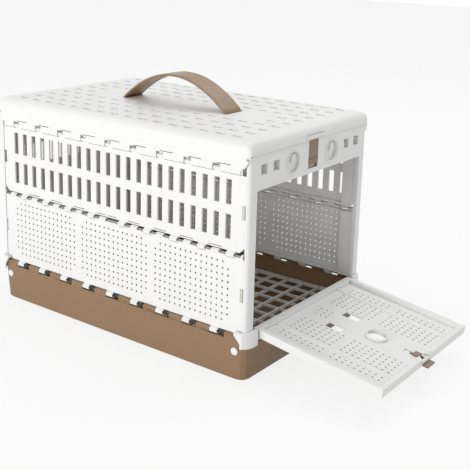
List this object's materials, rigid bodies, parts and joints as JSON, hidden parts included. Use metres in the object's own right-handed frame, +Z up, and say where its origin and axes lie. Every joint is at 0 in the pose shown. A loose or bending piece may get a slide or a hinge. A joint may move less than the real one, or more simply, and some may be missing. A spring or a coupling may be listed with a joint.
{
  "type": "folding bird transport cage",
  "caption": "Folding transport cage for birds: brown tray, white slotted walls and lid, strap handle, and an end frame with a fold-down ramp door.",
  "frame": {"origin": "centre of the tray's flat underside", "axes": "+X along the cage towards the ramp door, +Y across to the far long side, +Z up"},
  "size_m": [0.5736, 0.2608, 0.3145],
  "materials": {
    "cage_plastic": "moulded white plastic with a fine satin grain",
    "tray_plastic": "moulded brown plastic with a fine satin grain",
    "strap_plastic": "flexible brown plastic strap, satin",
    "latch_plastic": "moulded brown plastic, satin",
    "grid_plastic": "moulded off-white plastic, satin",
    "pin_steel": "drawn steel wire"
  },
  "bodies": {
    "tray": {"base_tray": "tray_plastic", "tray_rim_near": "tray_plastic", "tray_rim_far": "tray_plastic", "floor_grid": "grid_plastic", "tray_pin_near": "pin_steel", "tray_pin_far": "pin_steel"},
    "near_lower": {"lower_wall_near": "cage_plastic", "middle_pin_near": "pin_steel"},
    "near_upper": {"upper_wall_near": "cage_plastic"},
    "far_lower": {"lower_wall_far": "cage_plastic", "middle_pin_far": "pin_steel"},
    "far_upper": {"upper_wall_far": "cage_plastic"},
    "lid": {"lid_shell": "cage_plastic", "carry_strap": "strap_plastic", "strap_collar_front": "cage_plastic", "strap_collar_rear": "cage_plastic", "lid_pin_near": "pin_steel", "lid_pin_far": "pin_steel", "front_pivot_pin_near": "pin_steel", "front_pivot_pin_far": "pin_steel", "rear_pivot_pin_near": "pin_steel", "rear_pivot_pin_far": "pin_steel"},
    "front_end": {"front_frame": "cage_plastic", "front_sill": "cage_plastic", "front_corner_tab_near": "cage_plastic", "front_corner_tab_far": "cage_plastic"},
    "rear_end": {"rear_frame": "cage_plastic", "rear_sill": "cage_plastic", "rear_corner_tab_near": "cage_plastic", "rear_corner_tab_far": "cage_plastic", "rear_panel": "cage_plastic"},
    "front_latch": {"front_latch": "latch_plastic"},
    "rear_latch": {"rear_latch": "latch_plastic"},
    "door": {"ramp_door": "cage_plastic", "door_pin_near": "pin_steel", "door_pin_far": "pin_steel"},
    "bolt": {"door_bolt": "latch_plastic"},
    "button_near_front": {"lock_button_near_front": "cage_plastic"},
    "button_near_rear": {"lock_button_near_rear": "cage_plastic"},
    "button_far_front": {"lock_button_far_front": "cage_plastic"},
    "button_far_rear": {"lock_button_far_rear": "cage_plastic"}
  },
  "joints": [
    {"name": "near_lower_fold", "type": "hinge", "parent": "tray", "child": "near_lower", "pos_m": [0, -0.1243, 0.052], "axis": [-1, 0, 0], "range_deg": [0, 87]},
    {"name": "wall_fold", "type": "hinge", "parent": "near_lower", "child": "near_upper", "pos_m": [0, -0.1243, 0.1465], "axis": [1, 0, 0], "range_deg": [0, 174]},
    {"name": "near_lid_fold", "type": "hinge", "parent": "near_upper", "child": "lid", "pos_m": [0, -0.1243, 0.241], "axis": [-1, 0, 0], "range_deg": [0, 87]},
    {"name": "far_lower_fold", "type": "hinge", "parent": "tray", "child": "far_lower", "pos_m": [0, 0.1243, 0.052], "axis": [-1, 0, 0], "range_deg": [-87, 0]},
    {"name": "far_middle_fold", "type": "hinge", "parent": "far_lower", "child": "far_upper", "pos_m": [0, 0.1243, 0.1465], "axis": [-1, 0, 0], "range_deg": [0, 174]},
    {"name": "front_swing", "type": "hinge", "parent": "lid", "child": "front_end", "pos_m": [0.1988, 0, 0.256], "axis": [0, -1, 0], "range_deg": [0, 87]},
    {"name": "rear_swing", "type": "hinge", "parent": "lid", "child": "rear_end", "pos_m": [-0.1988, 0, 0.256], "axis": [0, 1, 0], "range_deg": [0, 87]},
    {"name": "door_swing", "type": "hinge", "parent": "front_end", "child": "door", "pos_m": [0.1988, 0, 0.0545], "axis": [0, -1, 0], "range_deg": [0, 98]},
    {"name": "bolt_slide", "type": "slide", "parent": "door", "child": "bolt", "axis": [-0.9903, 0, 0.1392], "range_m": [0, 0.007]},
    {"name": "front_latch_slide", "type": "slide", "parent": "front_end", "child": "front_latch", "axis": [0, 0, -1], "range_m": [0, 0.0032], "stiffness_N_per_m": 400},
    {"name": "rear_latch_slide", "type": "slide", "parent": "rear_end", "child": "rear_latch", "axis": [0, 0, -1], "range_m": [0, 0.0032], "stiffness_N_per_m": 400},
    {"name": "button_near_front_press", "type": "slide", "parent": "tray", "child": "button_near_front", "axis": [0, 1, 0], "range_m": [0, 0.0025], "stiffness_N_per_m": 500},
    {"name": "button_near_rear_press", "type": "slide", "parent": "tray", "child": "button_near_rear", "axis": [0, 1, 0], "range_m": [0, 0.0025], "stiffness_N_per_m": 500},
    {"name": "button_far_front_press", "type": "slide", "parent": "tray", "child": "button_far_front", "axis": [0, -1, 0], "range_m": [0, 0.0025], "stiffness_N_per_m": 500},
    {"name": "button_far_rear_press", "type": "slide", "parent": "tray", "child": "button_far_rear", "axis": [0, -1, 0], "range_m": [0, 0.0025], "stiffness_N_per_m": 500}
  ],
  "couplings": [
    {"joint": "near_lower_fold", "follows": "wall_fold", "ratio": 0.5},
    {"joint": "near_lid_fold", "follows": "wall_fold", "ratio": 0.5},
    {"joint": "far_lower_fold", "follows": "wall_fold", "ratio": -0.5},
    {"joint": "far_middle_fold", "follows": "wall_fold", "ratio": 1},
    {"joint": "front_swing", "follows": "wall_fold", "ratio": 0.5},
    {"joint": "rear_swing", "follows": "wall_fold", "ratio": 0.5}
  ]
}
